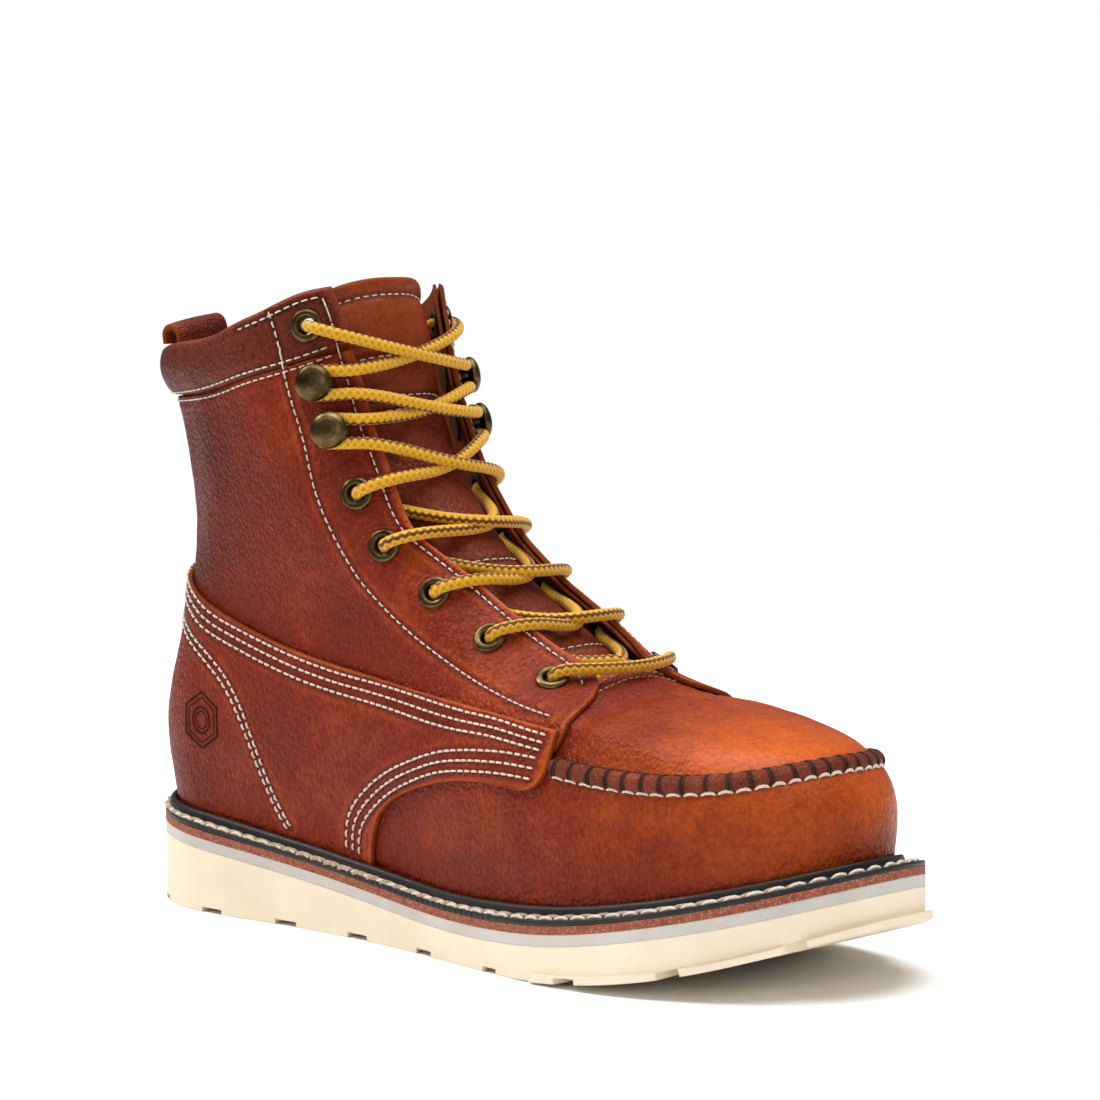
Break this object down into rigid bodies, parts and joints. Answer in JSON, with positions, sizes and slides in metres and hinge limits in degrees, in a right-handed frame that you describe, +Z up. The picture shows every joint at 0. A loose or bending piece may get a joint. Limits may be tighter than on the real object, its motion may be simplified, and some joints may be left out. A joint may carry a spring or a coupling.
{
  "type": "steel toe work boot",
  "caption": "Lace-up moc-toe work boot with a steel toe cap, padded collar and tongue, eyelets and speed hooks, and a thick rubber wedge sole on a stitched welt.",
  "frame": {"origin": "ground plane under the middle of the outsole's length, on the heel-to-toe centre line", "axes": "+X towards the toe, +Y towards the inner (medial) side of this right boot, +Z up"},
  "size_m": [0.3172, 0.1141, 0.2175],
  "materials": {
    "cream_rubber": "matt moulded wedge rubber",
    "grey_foam": "matt",
    "brown_cork_rubber": "speckled, matt",
    "black_welt": "satin, stitched",
    "cork": "granular",
    "shank_steel": "mill finish",
    "fibre_board": "dry fibre",
    "footbed_foam": "fabric-topped foam",
    "tan_leather": "oiled pull-up, pebbled",
    "dark_leather": "soft, dark, grained",
    "suede": "raw flesh side",
    "lining_mesh": "knitted lining",
    "counter_board": "pressed fibre",
    "antique_brass": "antique, worn",
    "cap_steel": "dark coated",
    "soft_foam": "open-cell foam",
    "pull_leather": "red-brown, raw edges",
    "lace_braid": "round braid with brown flecks",
    "aglet_plastic": "gloss"
  },
  "bodies": {
    "boot": {"outsole": "cream_rubber", "midsole_pale": "grey_foam", "midsole_brown": "brown_cork_rubber", "storm_welt": "black_welt", "cork_filler": "cork", "steel_shank": "shank_steel", "insole_board": "fibre_board", "quarter_lateral": "tan_leather", "quarter_medial": "tan_leather", "lower_quarter_lateral": "tan_leather", "lower_quarter_medial": "tan_leather", "eyestay_facing_lateral": "suede", "eyestay_facing_medial": "suede", "lining_lateral": "lining_mesh", "lining_medial": "lining_mesh", "heel_counter_lateral": "counter_board", "heel_counter_medial": "counter_board", "eyelets_lateral": "antique_brass", "eyelets_medial": "antique_brass", "hooks_lateral": "antique_brass", "hooks_medial": "antique_brass", "vamp": "tan_leather", "moc_plug": "tan_leather", "moc_seam": "dark_leather", "steel_toe_cap": "cap_steel", "toe_lining": "lining_mesh", "collar": "dark_leather", "collar_foam": "soft_foam", "backstay": "dark_leather", "pull_loop_anchor": "pull_leather", "lace": "lace_braid", "lace_tail_lateral": "lace_braid", "lace_tail_medial": "lace_braid", "aglet_lateral": "aglet_plastic", "aglet_medial": "aglet_plastic"},
    "tongue": {"tongue": "dark_leather", "tongue_padding": "soft_foam"},
    "footbed": {"footbed": "footbed_foam"},
    "pull_loop": {"pull_loop": "pull_leather"}
  },
  "joints": [
    {"name": "tongue_fold", "type": "hinge", "parent": "boot", "child": "tongue", "pos_m": [0.042, 0, 0.088], "axis": [0, 1, 0], "range_deg": [-12, 0]},
    {"name": "footbed_lift", "type": "slide", "parent": "boot", "child": "footbed", "axis": [0, 0, 1], "range_m": [0, 0.005]},
    {"name": "pull_loop_swing", "type": "hinge", "parent": "boot", "child": "pull_loop", "pos_m": [-0.1548, 0, 0.1926], "axis": [0, 1, 0], "range_deg": [-12, 6]}
  ]
}
